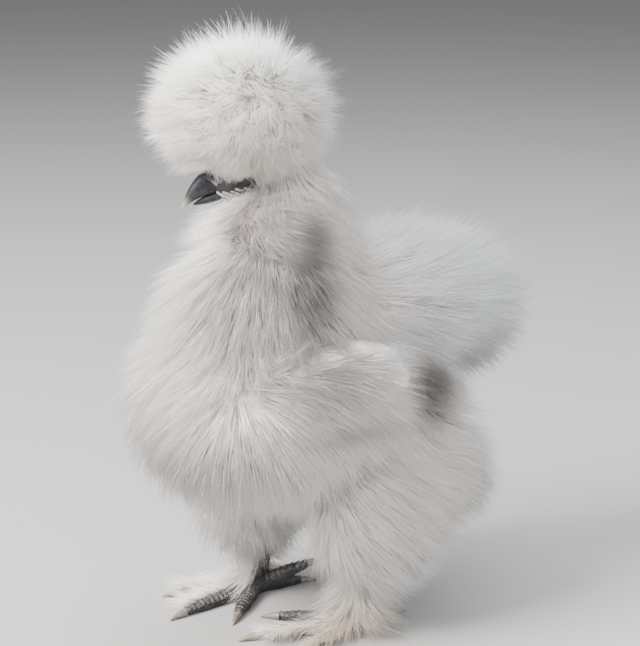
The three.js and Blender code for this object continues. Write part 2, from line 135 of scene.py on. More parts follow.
def add_limb(bm, places, radii, sides=12):
    """A round limb drawn out ring by ring through its places."""
    ring = bmesh.ops.create_circle(bm, cap_ends=True, segments=sides, radius=1)["verts"]
    seats = []
    for i, place in enumerate(places):
        along = (places[min(i + 1, len(places) - 1)] - places[max(i - 1, 0)]).normalized()
        seats.append(Matrix.Translation(place) @ along.to_track_quat("Z", "Y").to_matrix().to_4x4())
    face = ring[0].link_faces[0]
    bmesh.ops.transform(bm, matrix=seats[0] @ Matrix.Scale(radii[0], 4), verts=face.verts)
    for i in range(1, len(places)):
        face = bmesh.ops.extrude_discrete_faces(bm, faces=[face])["faces"][0]
        step = seats[i] @ Matrix.Scale(radii[i] / radii[i - 1], 4) @ seats[i - 1].inverted()
        bmesh.ops.transform(bm, matrix=step, verts=face.verts)


def new_piece(name, bm, slot, finish, *nodes):
    """A finished piece from a mesh in millimetres: brought home, smooth, faces outwards."""
    bmesh.ops.recalc_face_normals(bm, faces=bm.faces)
    mesh = bpy.data.meshes.new(name)
    bm.to_mesh(mesh)
    bm.free()
    mesh.transform(bring_home)
    return new_piece_from_mesh(name, mesh, slot, finish, *nodes)


def new_piece_from_mesh(name, mesh, slot, finish, *nodes):
    mesh.shade_smooth()
    mesh.materials.append(finish)
    piece = bpy.data.objects.new(name, mesh)
    bpy.context.scene.collection.objects.link(piece)
    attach(piece, "root")
    if nodes:
        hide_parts(*nodes)
    return piece


def new_finish(name):
    finish = bpy.data.materials.new(name)
    finish.use_nodes = True
    return finish, finish.node_tree, finish.node_tree.nodes["Principled BSDF"]


def on_bird(tree):
    return tree.nodes.new("ShaderNodeTexCoord").outputs["Object"]


def patch(tree, middle, radii, soft, turn=(0, 0, 0)):
    """A soft patch on the bird, 1 at its middle and 0 outside its radii, in the bird's own millimetres."""
    fit = tree.nodes.new("ShaderNodeMapping")
    fit.vector_type = "TEXTURE"
    fit.inputs["Location"].default_value = bring_home @ Vector(middle)
    fit.inputs["Rotation"].default_value = turn
    fit.inputs["Scale"].default_value = Vector(radii) * mm
    tree.links.new(on_bird(tree), fit.inputs["Vector"])
    far = tree.nodes.new("ShaderNodeVectorMath")
    far.operation = "LENGTH"
    tree.links.new(fit.outputs["Vector"], far.inputs[0])
    fade = tree.nodes.new("ShaderNodeMapRange")
    fade.interpolation_type = "SMOOTHSTEP"
    fade.inputs["From Min"].default_value = 1
    fade.inputs["From Max"].default_value = 1 - soft
    tree.links.new(far.outputs["Value"], fade.inputs["Value"])
    return fade.outputs["Result"]


def feed(tree, socket, colour):
    """Sets a colour socket to a plain colour, or links a mixed one to it."""
    if isinstance(colour, tuple):
        socket.default_value = (*colour, 1)
    else:
        tree.links.new(colour, socket)


def combined(tree, operation, mask, other):
    """Two masks, or a mask and a number, as one."""
    both = tree.nodes.new("ShaderNodeMath")
    both.operation = operation
    tree.links.new(mask, both.inputs[0])
    if isinstance(other, float):
        both.inputs[1].default_value = other
    else:
        tree.links.new(other, both.inputs[1])
    return both.outputs["Value"]


def mix_in_tint(tree, colour, tint, mask, strength=1.0):
    """Mixes a tint into a colour by a mask."""
    if strength != 1:
        mask = combined(tree, "MULTIPLY", mask, strength)
    mix = tree.nodes.new("ShaderNodeMix")
    mix.data_type = "RGBA"
    tree.links.new(mask, mix.inputs["Factor"])
    feed(tree, mix.inputs["A"], colour)
    feed(tree, mix.inputs["B"], tint)
    return mix.outputs["Result"]


def blotches(tree, size, detail=3.0):
    """Even cloudy noise with blotches about this many millimetres across."""
    noise = tree.nodes.new("ShaderNodeTexNoise")
    noise.inputs["Scale"].default_value = 1 / (size * mm)
    noise.inputs["Detail"].default_value = detail
    noise.inputs["Roughness"].default_value = 0.55
    tree.links.new(on_bird(tree), noise.inputs["Vector"])
    return noise.outputs["Fac"]


def between(tree, value, low, high):
    fade = tree.nodes.new("ShaderNodeMapRange")
    fade.inputs["From Min"].default_value = low
    fade.inputs["From Max"].default_value = high
    tree.links.new(value, fade.inputs["Value"])
    return fade.outputs["Result"]


def clouded(tree, colour, tint, size, low, high, strength=1.0):
    """A colour with blotches of a tint in it, which begin and end at these levels of the noise."""
    return mix_in_tint(tree, colour, tint, between(tree, blotches(tree, size), low, high), strength)


def raise_grain(tree, shader, grain, depth):
    """Bump of this depth in millimetres."""
    bump = tree.nodes.new("ShaderNodeBump")
    bump.inputs["Strength"].default_value = 1
    bump.inputs["Distance"].default_value = depth * mm
    tree.links.new(grain, bump.inputs["Height"])
    tree.links.new(bump.outputs["Normal"], shader.inputs["Normal"])


cream_white = (0.95, 0.91, 0.865)
# a cooler white, painted light from above
painted_cool_light = (0.90, 0.915, 0.915)
# a pinkish grey, partly the plumage's own tint and partly painted shade
mauve_tint_and_shade = (0.56, 0.49, 0.475)
# a grey for painted shade
painted_shade_grey = (0.31, 0.285, 0.285)
# a near black for painted shadow and shade
painted_shadow_grey = (0.06, 0.05, 0.05)
# straw: the colour of real stains, and also of painted warm light reflected up from the ground
straw_and_bounce_light = (0.62, 0.50, 0.38)
# a dark brown for real soiling, darkened further as painted shade
soil_and_shade_brown = (0.035, 0.026, 0.02)
flank_slant = -38
# The markings and the painted light, each laid over those before it: tint, middle, radii, softness, turn in
# degrees, strength
# Most of them are painted shade or painted light; the straw stains low on the crest are the plumage's own
# colour.
tints_and_painted_light = [
    # painted cool light on the top of the cushion and tail, where light from above falls
    (painted_cool_light, (0, 92, 150), (95, 75, 70), 0.6, 0, 1),
    # painted cool light on the crown of the crest
    (painted_cool_light, (-10, -21, 262), (60, 60, 45), 0.6, 0, 0.6),
    # a pinkish tint over the throat and upper breast, with painted shade under the beard
    (mauve_tint_and_shade, (30, -50, 160), (36, 36, 48), 0.8, 0, 0.9),
]
for side in (1, -1):
    tints_and_painted_light += [
        # painted shade over each folded wing
        (painted_shade_grey, (side * 66, -32, 140), (32, 46, 38), 0.8, 0, 0.9),
        # painted shadow along the lower edge of each wing, where it overhangs the thigh
        (painted_shadow_grey, (side * 62, -14, 103), (17, 42, 9), 0.9, 0, 0.5),
        # painted shade down each side of the neck, between the beard and the hackle
        (painted_shadow_grey, (side * 47, -25, 171), (40, 24, 42), 0.8, flank_slant * side, 0.95),
    ]
tints_and_painted_light += [
    # painted shadow under the lower edge of the beard
    (painted_shadow_grey, (28, -42, 171), (36, 24, 9), 0.9, 0, 0.5),
    # painted shade under the cushion and tail
    (painted_shade_grey, (30, 92, 108), (44, 44, 28), 0.8, 0, 0.7),
    # painted shade under the belly
    (mauve_tint_and_shade, (20, -60, 86), (54, 44, 26), 0.8, 0, 0.6),
    # painted shade in a band up the left side of the neck to the cheek
    (painted_shadow_grey, (34, -13, 190), (13, 14, 22), 0.8, 0, 0.7),
    # painted shade on the beard under the beak, in the pinkish grey
    (mauve_tint_and_shade, (18, -34, 194), (30, 28, 24), 0.7, 0, 0.85),
    (straw_and_bounce_light, (-2, -57, 215), (22, 20, 12), 0.9, 0, 0.7),
    (straw_and_bounce_light, (23, -38, 216), (22, 20, 12), 0.9, 0, 0.7),
    # painted warm light reflected up from the ground onto the feathers of the left foot
    (straw_and_bounce_light, (44, -2, 0), (52, 60, 26), 0.8, 0, 0.9),
    # painted warm light reflected up from the ground onto all the plumage low down
    (straw_and_bounce_light, (0, 0, 0), (120, 120, 24), 0.9, 0, 0.25),
]


def plumage_colour(tree):
    """The colour of the plumage and of the skin under it, with its painted shade and light, and a soiled
    patch on the left under the tail, painted darker for the shade in its hollow.
    """
    colour = clouded(tree, cream_white, (0.85, 0.81, 0.78), 26, 0.35, 0.75)
    for tint, middle, radii, blur, turn, strength in tints_and_painted_light:
        mark = patch(tree, middle, radii, blur, (0, 0, math.radians(turn)))
        colour = mix_in_tint(tree, colour, tint, mark, strength)
    # the soiled patch under the tail, painted near black too for the shade of the hollow there
    soil_and_shade = clouded(tree, soil_and_shade_brown, straw_and_bounce_light, 2.5, 0.55, 0.7, 0.6)
    under_tail = patch(tree, (61, 36, 117), (32, 24, 29), 0.7, (0, 0, math.radians(flank_slant)))
    clumps = between(tree, blotches(tree, 7), 0.12, 0.34)
    return mix_in_tint(tree, colour, soil_and_shade, combined(tree, "MULTIPLY", under_tail, clumps))


slate_skin, tree, shader = new_finish("slate_skin")
slate = clouded(tree, (0.014, 0.013, 0.016), (0.040, 0.036, 0.040), 3, 0.4, 0.7)
bare_face = patch(tree, head_frame @ Vector((2, 0, 3)), (27, 27, 24), 0.25)
bare_legs = patch(tree, (-6, 0, 0), (140, 140, 27), 0.2)
bare = combined(tree, "MAXIMUM", bare_face, bare_legs)
tree.links.new(mix_in_tint(tree, plumage_colour(tree), slate, bare), shader.inputs["Base Color"])
shader.inputs["Roughness"].default_value = 0.62
pebble = tree.nodes.new("ShaderNodeTexVoronoi")
pebble.inputs["Scale"].default_value = 1 / (1.3 * mm)
tree.links.new(on_bird(tree), pebble.inputs["Vector"])
raise_grain(tree, shader, pebble.outputs["Distance"], 0.35)

hide = bmesh.new()
for part, middle, radii, coat, turn in plumage_forms:
    upright = Matrix.Rotation(math.radians(turn), 4, "Z")
    drawn_in = coat * skin_depth
    add_ball(hide, Matrix.Translation(middle) @ upright, (0, 0, 0), [r - drawn_in for r in radii])
for middle, radii in flesh_forms:
    add_ball(hide, Matrix.Identity(4), middle, radii)
for middle, radii in head_forms:
    add_ball(hide, head_frame, middle, radii, 4)
for side in (1, -1):
    add_ball(hide, head_frame, (5, side * 5.6, -8), (4.2, 2.2, 5.5))
    add_ball(hide, head_frame, (-14, side * 12.4, 1), (4, 2.6, 5.4))
    add_ball(hide, head_frame, (eye_place.x, side * (eye_place.y - 1.2), eye_place.z), (6.6, 4.6, 6.4))
for x, y, z, bulb in comb_bulbs:
    add_ball(hide, head_frame, (x, y, z), (bulb, bulb, bulb))
for leg in legs:
    ankle, hock = Vector(leg["ankle"]), Vector(leg["hock"])
    knee = hock + Vector((0, -6, 20))
    add_limb(hide, [ankle, ankle.lerp(hock, 0.12), ankle.lerp(hock, 0.55), hock, knee], [5, 4.6, 4.9, 6.6, 9])
    add_ball(hide, Matrix.Translation(ankle), (0, 0, 0), (7.2, 7.2, 4.9))
    for toe in toes:
        joints = max(round(toe["length"] / 11), 2)
        shares = [i / (joints * 4) for i in range(joints * 4 + 1)]
        swell = [1 + 0.1 * math.cos(2 * math.pi * joints * share) for share in shares]
        thick = [toe_thick(s) * 0.97 * w for s, w in zip(shares, swell)]
        add_limb(hide, [toe_place(leg, toe, share) for share in shares], thick)
skin = new_piece("skin", hide, "skin", slate_skin, "head", "foot_left", "foot_right")
fuse = skin.modifiers.new("fuse", "REMESH")
fuse.mode = "VOXEL"
fuse.voxel_size = 1.1 * mm
fuse.use_smooth_shade = True
ease = skin.modifiers.new("ease", "SMOOTH")
ease.factor = 0.5
ease.iterations = 4
drawn_hide = bpy.data.meshes.new_from_object(skin.evaluated_get(bpy.context.evaluated_depsgraph_get()))
skin.modifiers.clear()
skin.data = drawn_hide
for vert in drawn_hide.vertices:
    vert.co.z = max(vert.co.z, 0.2 * mm)

# The eyes. Each is a dark wet ball set deep in the side of the head, nearly black, with a thin brown iris.
# An upper and a lower lid of bare slate skin close over it like two slices of a shell.
dark_eye, tree, shader = new_finish("dark_eye")
iris_middles = [
    head_frame @ Vector((eye_place.x, side * (eye_place.y + eye_radius), eye_place.z)) for side in (1, -1)
]
colour = (0.015, 0.012, 0.011)
for middle in iris_middles:
    colour = mix_in_tint(tree, colour, (0.060, 0.028, 0.014), patch(tree, middle, (3.4, 3.4, 3.4), 0.12))
for middle in iris_middles:
    colour = mix_in_tint(tree, colour, (0.004, 0.004, 0.004), patch(tree, middle, (2.2, 2.2, 2.2), 0.1))
tree.links.new(colour, shader.inputs["Base Color"])
shader.inputs["Roughness"].default_value = 0.06
shader.inputs["Coat Weight"].default_value = 1
shader.inputs["Coat Roughness"].default_value = 0.02
for hand, side in (("left", 1), ("right", -1)):
    ball = bmesh.new()
    seat = head_frame @ Matrix.Translation((eye_place.x, side * eye_place.y, eye_place.z))
    bmesh.ops.create_uvsphere(ball, u_segments=36, v_segments=24, radius=eye_radius, matrix=seat)
    new_piece("eye_ball_" + hand, ball, "eye", dark_eye, "eye_" + hand)

lid_thick = 0.7
lid_skin, tree, shader = new_finish("lid_skin")
lid_colour = clouded(tree, (0.026, 0.023, 0.028), (0.065, 0.058, 0.064), 1.6, 0.4, 0.7)
tree.links.new(lid_colour, shader.inputs["Base Color"])
shader.inputs["Roughness"].default_value = 0.5
raise_grain(tree, shader, blotches(tree, 0.7), 0.12)
for hand, side in (("left", 1), ("right", -1)):
    lids = bmesh.new()
    seat = Matrix.Translation((eye_place.x, side * eye_place.y, eye_place.z))
    for start, sweep in ((28, 62), (-24, -58)):
        # each lid is swept over the ball from its free edge, an arc from the front of the eye to the back
        arc_turns = np.linspace(0.06, math.pi - 0.06, 17)
        arc = [Vector((math.cos(a), math.sin(a), 0)) * (eye_radius + 0.25) for a in arc_turns]
        tip_up = Matrix.Rotation(math.radians(start) * side, 4, "X") @ Matrix.Scale(side, 4, (0, 1, 0))
        edge_verts = [bmesh.ops.create_vert(lids, co=tip_up @ p)["vert"][0] for p in arc]
        edges = [lids.edges.new(pair) for pair in zip(edge_verts, edge_verts[1:])]
        bmesh.ops.spin(
            lids, geom=edge_verts + edges, cent=(0, 0, 0), axis=(1, 0, 0),
            angle=math.radians(sweep) * side, steps=8,
        )
    bmesh.ops.recalc_face_normals(lids, faces=lids.faces)
    bmesh.ops.solidify(lids, geom=lids.faces[:], thickness=-lid_thick)
    bmesh.ops.transform(lids, matrix=head_frame @ seat, verts=lids.verts)
    new_piece("lids_" + hand, lids, "skin", lid_skin)

# The beak. It is short, curved, slate-blue horn that grows over the bone of the jaws, in two halves that
# close along the mouth. It is darker at the root and pale at the worn tip, with a long nostril under a flap
# each side.
beak_length = 24
slate_horn, tree, shader = new_finish("slate_horn")
horn = clouded(tree, (0.016, 0.017, 0.021), (0.034, 0.035, 0.040), 2.2, 0.35, 0.7)
worn_tip = patch(tree, head_frame @ Vector((33, 0, -1.5)), (8, 8, 8), 0.8)
horn = mix_in_tint(tree, horn, (0.34, 0.30, 0.22), worn_tip, 0.9)
dark_root = patch(tree, head_frame @ Vector((7, 0, 3)), (9, 9, 9), 0.6)
horn = mix_in_tint(tree, horn, (0.015, 0.015, 0.018), dark_root)
tree.links.new(horn, shader.inputs["Base Color"])
shader.inputs["Roughness"].default_value = 0.42
shader.inputs["Specular IOR Level"].default_value = 0.16
raise_grain(tree, shader, blotches(tree, 1.1, 5), 0.08)


def beak_half(upper):
    stations, sides = 19, 20
    half_beak = bmesh.new()
    ring = bmesh.ops.create_circle(half_beak, cap_ends=True, segments=sides, radius=1)["verts"]
    face = ring[0].link_faces[0]
    length = beak_length if upper else beak_length - 3
    for i in range(stations):
        if i:
            face = bmesh.ops.extrude_discrete_faces(half_beak, faces=[face])["faces"][0]
        share = i / (stations - 1)
        seam = 2 - (3.4 if upper else 2.2) * share ** 4
        top = 13.6 - 14.2 * share ** 2.6 if upper else seam - 0.3
        bottom = seam if upper else -3.4 + 2.2 * share * share
        half = (5.2 if upper else 4.6) * (1 - share) ** 0.62 + 0.3
        middle, tall = (top + bottom) / 2, max((top - bottom) / 2, 0.25)
        for side, vert in enumerate(face.verts):
            turn = 2 * math.pi * side / sides
            lift = math.sin(turn)
            inner = lift < 0 if upper else lift > 0
            lift = max(min(lift, 0.6), -0.6) / 0.6 if inner else lift
            vert.co = ((8.5 if upper else 6) + length * share, math.cos(turn) * half, middle + lift * tall)
    if upper:
        # the nostril is a slot, under a flap that stands a little proud
        for vert in half_beak.verts:
            flat = Vector(((vert.co.x - 15.6) / 2.9, (vert.co.z - 7.4) / 1.3))
            vert.co.y *= 1 - 0.42 * math.exp(-flat.length_squared * 1.4)
            flap = Vector(((vert.co.x - 15) / 3.4, (vert.co.z - 9.2) / 1.2))
            vert.co.y *= 1 + 0.10 * math.exp(-flap.length_squared * 1.4)
    bmesh.ops.bevel(
        half_beak, geom=list(face.edges), offset=0.12, offset_type="OFFSET", affect="EDGES", segments=2,
        profile=0.5, material=-1,
    )
    bmesh.ops.transform(half_beak, matrix=head_frame, verts=half_beak.verts)
    return half_beak


for half in ("upper", "lower"):
    shell = beak_half(half == "upper")
    horn_piece = new_piece("beak_horn_" + half, shell, "beak_horn", slate_horn, "beak_" + half)
    rounding = horn_piece.modifiers.new("rounding", "SUBSURF")
    rounding.levels = rounding.render_levels = 1

# The scales and claws. Hard plates of dark horn lap down the front of each shank and along the top of each
# toe, and every toe ends in a blunt curved claw of paler horn that grows from its last joint.
shank_plates = 9
shank_plate_space = 4.6
toe_plate_space = 2.7
plate_lap = 1
plate_thick = 0.45
half_wrap = math.radians(72)
claw_rings = 9
claw_length = 9
claw_root, claw_tip = 1.9, 0.4
dark_scale, tree, shader = new_finish("dark_scale")
plate = clouded(tree, (0.030, 0.028, 0.031), (0.070, 0.066, 0.066), 2.4, 0.35, 0.7)
cobble = tree.nodes.new("ShaderNodeTexVoronoi")
cobble.feature = "DISTANCE_TO_EDGE"
cobble.inputs["Scale"].default_value = 1 / (1.7 * mm)
tree.links.new(on_bird(tree), cobble.inputs["Vector"])
plate = mix_in_tint(tree, plate, (0.20, 0.19, 0.18), between(tree, cobble.outputs["Distance"], 0.09, 0.02), 0.8)
tree.links.new(plate, shader.inputs["Base Color"])
shader.inputs["Roughness"].default_value = 0.5
raise_grain(tree, shader, between(tree, cobble.outputs["Distance"], 0, 0.2), 0.25)
pale_claw, tree, shader = new_finish("pale_claw")
claw_colour = clouded(tree, (0.24, 0.205, 0.165), (0.13, 0.112, 0.10), 1.8, 0.3, 0.7)
tree.links.new(claw_colour, shader.inputs["Base Color"])
shader.inputs["Roughness"].default_value = 0.38
raise_grain(tree, shader, blotches(tree, 0.9, 5), 0.1)


def add_plate(bm, seat, radius, long):
    """One bent plate, lapping over a round limb of this radius, which runs along the x of its seat."""
    plates = bmesh.ops.create_grid(bm, x_segments=2, y_segments=6, size=1)["verts"]
    for vert in plates:
        x, turn = vert.co.x, vert.co.y * half_wrap
        lift = radius * (1.02 + 0.05 * (x + 1)) * (1 - 0.06 * abs(vert.co.y) ** 3)
        vert.co = (x * long / 2, math.sin(turn) * lift, math.cos(turn) * lift)
    faces = list({face for vert in plates for face in vert.link_faces})
    bmesh.ops.recalc_face_normals(bm, faces=faces)
    shell = bmesh.ops.solidify(bm, geom=faces, thickness=plate_thick)["geom"]
    verts = set(plates) | {v for v in shell if isinstance(v, bmesh.types.BMVert)}
    bmesh.ops.transform(bm, matrix=seat, verts=list(verts))


for leg in legs:
    scales = bmesh.new()
    ankle, hock = Vector(leg["ankle"]), Vector(leg["hock"])
    ahead = foot_way(leg)
    up_leg = (hock - ankle).normalized()
    for i in range(shank_plates):
        along = -up_leg
        out = (ahead - along * ahead.dot(along)).normalized()
        seat = Matrix((along, out.cross(along), out)).transposed().to_4x4()
        seat = Matrix.Translation(ankle + up_leg * (7 + shank_plate_space * i)) @ seat
        add_plate(scales, seat, 4.75 + 0.12 * i, shank_plate_space + plate_lap)
    for toe in toes:
        count = round(toe["length"] / toe_plate_space)
        for i in range(1, count):
            share = (i + 0.4) / count
            place = toe_place(leg, toe, share)
            along = (toe_place(leg, toe, share + 0.05) - place).normalized()
            across = Vector((0, 0, 1)).cross(along).normalized()
            seat = Matrix((along, across, along.cross(across))).transposed().to_4x4()
            add_plate(scales, Matrix.Translation(place) @ seat, toe_thick(share), 3.4)
    for vert in scales.verts:
        vert.co.z = max(vert.co.z, 0.3)
    new_piece("scales_" + leg["side"], scales, "foot_skin", dark_scale)
    for toe in toes:
        claw = bmesh.new()
        last = (toe_place(leg, toe, 1) - toe_place(leg, toe, 0.92)).normalized()
        places, radii = [], []
        for i in range(claw_rings):
            share = i / (claw_rings - 1)
            place = toe_place(leg, toe, 1) + last * (0.35 + claw_length * share)
            place.z = max(place.z - 1.2 * share * share, 0.95 - 0.4 * share)
            places.append(place)
            radii.append(claw_root + (claw_tip - claw_root) * share ** 1.3)
        add_limb(claw, places, radii, 14)
        for vert in claw.verts:
            vert.co.z = max(vert.co.z, 0.15)
        node = "claw_{side}_".format(**leg) + toe["name"]
        new_piece("horn_" + node, claw, "claw_horn", pale_claw, node)

# The plumage. Silkie feathers have no hooks to hold them flat, so each falls apart into soft hairs. Every
# tuft here is one feather: a bundle of tapered hairs from one root in the skin, thin and closed, lapping
# over the next.
seed = 7
crease_fill = 20
root_scatter = 0.22
seam_overlap = 6
lowest_root = 9
off_floor = 1.2
full_lean = 0.5
fan_push = 4
climb_limits = (-8, 24)
back_and_down = (0, 0.6, -0.8)
hair_flat = 0.8
shortest_left = 0.15
tuft_tone = (0.12, 0.1)
hair_tone = (0.08, 0.14)
tuft_patch = 0.003
forms = [
    {
        "part": part,
        "middle": np.array(middle, float),
        "radii": np.array(radii, float),
        "coat": coat,
        "turn": np.array(Matrix.Rotation(math.radians(turn), 3, "Z")),
    }
    for part, middle, radii, coat, turn in plumage_forms
]
head_axes = np.array(head_frame.to_3x3())
head_origin = np.array(mouth_corner)


def unit(vectors):
    return vectors / np.maximum(np.linalg.norm(vectors, axis=-1, keepdims=True), 1e-9)


def outside(places, form, depth=0):
    """About how far places are outside a form that is drawn in by a depth."""
    local = (places - form["middle"]) @ form["turn"]
    radii = np.maximum(form["radii"] - depth, 3)
    near = np.linalg.norm(local / radii, axis=1)
    slope = np.linalg.norm(local / radii**2, axis=1)
    return near * (near - 1) / np.maximum(slope, 1e-9)


def height(places):
    """About how far places are outside the tips of the coat, with the creases between forms filled out."""
    least = outside(places, forms[0])
    for form in forms[1:]:
        far = outside(places, form)
        close = np.maximum(crease_fill - np.abs(least - far), 0) / crease_fill
        least = np.minimum(least, far) - close**2 * crease_fill / 4
    return least


def outward(places):
    step = np.eye(3) * 0.5
    rise = [height(places + step[i]) - height(places - step[i]) for i in range(3)]
    return unit(np.stack(rise, axis=1))


def spiral_ways(count):
    """Ways out from a middle, spread evenly all round it along a spiral."""
    i = np.arange(count)
    z = 1 - (2 * i + 1) / count
    ring = np.sqrt(1 - z * z)
    turn = i * math.pi * (3 - math.sqrt(5))
    return np.stack([ring * np.cos(turn), ring * np.sin(turn), z], axis=1)


def even_roots(part, space, rng):
    """Places spread evenly over the open skin of a part."""
    found = []
    for form in [f for f in forms if f["part"] == part]:
        radii = form["radii"] - form["coat"] * skin_depth
        a, b, c = radii
        stretch = max(a * b, b * c, a * c)
        way = spiral_ways(int(4 * math.pi * stretch / space**2))
        local_area = np.linalg.norm(way * np.array([b * c, a * c, a * b]), axis=1) / stretch
        way = way[rng.random(len(way)) < local_area]
        places = way * radii @ form["turn"].T + form["middle"]
        places += rng.normal(0, space * root_scatter, places.shape)
        open_here = np.ones(len(places), bool)
        for other in forms:
            if other is not form:
                margin = 0 if other["part"] == part else -seam_overlap
                open_here &= outside(places, other, other["coat"] * skin_depth) > margin
        found.append(places[open_here])
    return np.concatenate(found)


def lie(places, look):
    """The way a coat lies at each place: away from where it starts, with a steady pull, out of any fan."""
    flow = places - np.array(look["from"])
    flow = flow / (np.linalg.norm(flow, axis=1, keepdims=True) + look["ease"]) + np.array(look["pull"])
    if "fan" in look:
        away = places - np.array(look["fan"])
        near = np.exp(-np.sum(away**2, axis=1) / look["fan_reach"] ** 2)
        behind = np.clip(unit(away) @ np.array((0, 0.7, -0.7)) + 0.2, 0, 1)
        flow = flow + unit(away) * (near * behind * fan_push)[:, None]
    return flow


def comb_tufts(look, seats, rng):
    """The root and the tip of each tuft, laid over along the lie of the coat, and the way outward at both."""
    count = len(seats)
    wisp = rng.random(count) < look["wisps"]
    long = look["long"] * (1 + rng.uniform(-0.2, 0.2, count)) * np.where(wisp, 1.2, 1)
    tip = np.interp(seats @ back_and_down, *look["tip"])
    tip += rng.normal(0, look["ragged"], count) + wisp * rng.uniform(1, 4, count)
    sway = rng.uniform(-1, 1, (count, 1)) * look["sway"]
    drift = unit(rng.normal(size=(count, 3))) * look["drift"]
    up = outward(seats)
    flow = lie(seats, look) + drift
    flow = flow - up * np.sum(flow * up, axis=1, keepdims=True)
    lean = np.clip(np.linalg.norm(flow, axis=1) / full_lean, 0.1, 1)
    flow = unit(flow)
    flow = flow * np.cos(sway) + np.cross(up, flow) * np.sin(sway)
    tips = seats + flow * (long * lean)[:, None]
    up_at_tip = unit(0.4 * up + 0.6 * outward(tips))
    climb = np.clip(tip - height(tips), *climb_limits)
    tips = tips + up_at_tip * climb[:, None]
    return np.stack([seats, tips], axis=1), np.stack([up, up_at_tip], axis=1)


def trim(hairs, share):
    """Each hair cut back to a share of its length."""
    root = hairs[:, :1]
    return np.concatenate([root, root + (hairs[:, 1:] - root) * share[:, None, None]], axis=1)


def split_hairs(lines, ups, look, rng):
    """The hairs of each tuft, spread at root and tip and each a little its own, and the tuft of each hair."""
    tufts, each = len(lines), look["hairs"]
    along = unit(lines[:, 1:] - lines[:, :1])
    side = np.cross(ups, lie(lines[:, 0], look)[:, None])
    side = unit(side - along * np.sum(side * along, axis=2, keepdims=True))
    over = np.cross(along, side)
    spread = look["spread"] * np.array((0.5, look["gather"]))
    turn = rng.uniform(0, 2 * math.pi, (tufts, each))
    reach = np.sqrt(rng.random((tufts, each)))
    cross = (reach * np.cos(turn))[:, :, None] * spread
    rise = (reach * np.sin(turn))[:, :, None] * spread
    stray = rng.normal(0, look["stray"], (tufts, each, 2))
    at_tip = np.array((0, 1))
    cross = cross + (stray[:, :, :1] + rng.normal(0, look["curl"], cross.shape)) * at_tip
    rise = (rise + stray[:, :, 1:] * at_tip) * look["puff"]
    hairs = lines[:, None] + side[:, None] * cross[..., None] + over[:, None] * rise[..., None]
    hairs = trim(hairs.reshape(-1, 2, 3), rng.uniform(look["shortest"], 1, tufts * each))
    return hairs, np.repeat(np.arange(tufts), each)


def hair_mesh(name, hairs, ups, widths, unwrap, tones):
    """All hairs of one piece as one mesh: each a closed spike on three sides, thickest at its root."""
    root, tip = hairs[:, 0], hairs[:, 1]
    along = unit(tip - root)
    side = unit(np.cross(ups, along)) * widths[:, None] / 2
    over = np.cross(along, side) * hair_flat
    corners = np.stack([root + side, root + over, root - side, tip], axis=1)
    count, each, _ = corners.shape
    verts = corners.reshape(-1, 3) * mm + np.array(bird_middle)
    one_hair = np.array([(0, 2, 1), (0, 1, 3), (1, 2, 3), (2, 0, 3)])
    faces = (one_hair + (np.arange(count) * each)[:, None, None]).reshape(-1)
    mesh = bpy.data.meshes.new(name)
    mesh.vertices.add(len(verts))
    mesh.vertices.foreach_set("co", verts.astype(np.float32).ravel())
    mesh.loops.add(len(faces))
    mesh.loops.foreach_set("vertex_index", faces.astype(np.int32))
    mesh.polygons.add(len(faces) // 3)
    mesh.polygons.foreach_set("loop_start", np.arange(0, len(faces), 3, dtype=np.int32))
    reach = np.tile((0, 0, 0, 1), count)
    uv = np.repeat(unwrap, each, axis=0)
    uv[:, 0] += np.tile((0, 0.5, 1, 0.5), count) * tuft_patch
    uv[:, 1] += reach * tuft_patch
    layer = mesh.uv_layers.new(name="OFBake")
    layer.data.foreach_set("uv", uv[faces].astype(np.float32).ravel())
    for label, values in (("reach", reach), ("tone", np.repeat(tones, each))):
        attribute = mesh.attributes.new(label, "FLOAT", "POINT")
        attribute.data.foreach_set("value", values.astype(np.float32))
    mesh.validate()
    mesh.update()
    return mesh


def unwrap_on_skin(places):
    """Where roots lie on an unwrap of the skin round their middle, opened out to a square."""
    way = unit(places - np.mean(places, axis=0))
    way = way / np.sum(np.abs(way), axis=1, keepdims=True)
    x, y = way[:, 0].copy(), way[:, 1].copy()
    under = way[:, 2] < 0
    x[under] = (1 - np.abs(way[under, 1])) * np.where(way[under, 0] < 0, -1, 1)
    y[under] = (1 - np.abs(way[under, 0])) * np.where(way[under, 1] < 0, -1, 1)
    return np.stack([x, y], axis=1) * 0.49 * (1 - tuft_patch) + 0.5


soft_plumage, tree, shader = new_finish("soft_plumage")
reach_in = tree.nodes.new("ShaderNodeAttribute")
reach_in.attribute_name = "reach"
tone_in = tree.nodes.new("ShaderNodeAttribute")
tone_in.attribute_name = "tone"
coat_colour = plumage_colour(tree)
root_shade = between(tree, reach_in.outputs["Fac"], 0.6, 0.05)
coat_colour = mix_in_tint(tree, coat_colour, (0.78, 0.73, 0.69), root_shade, 0.3)
coat_colour = mix_in_tint(tree, coat_colour, (0.66, 0.61, 0.56), tone_in.outputs["Fac"], 0.45)
tree.links.new(coat_colour, shader.inputs["Base Color"])
shader.inputs["Roughness"].default_value = 0.75
shader.inputs["Sheen Weight"].default_value = 0.3
shader.inputs["Sheen Roughness"].default_value = 0.5
shader.inputs["Specular IOR Level"].default_value = 0.3


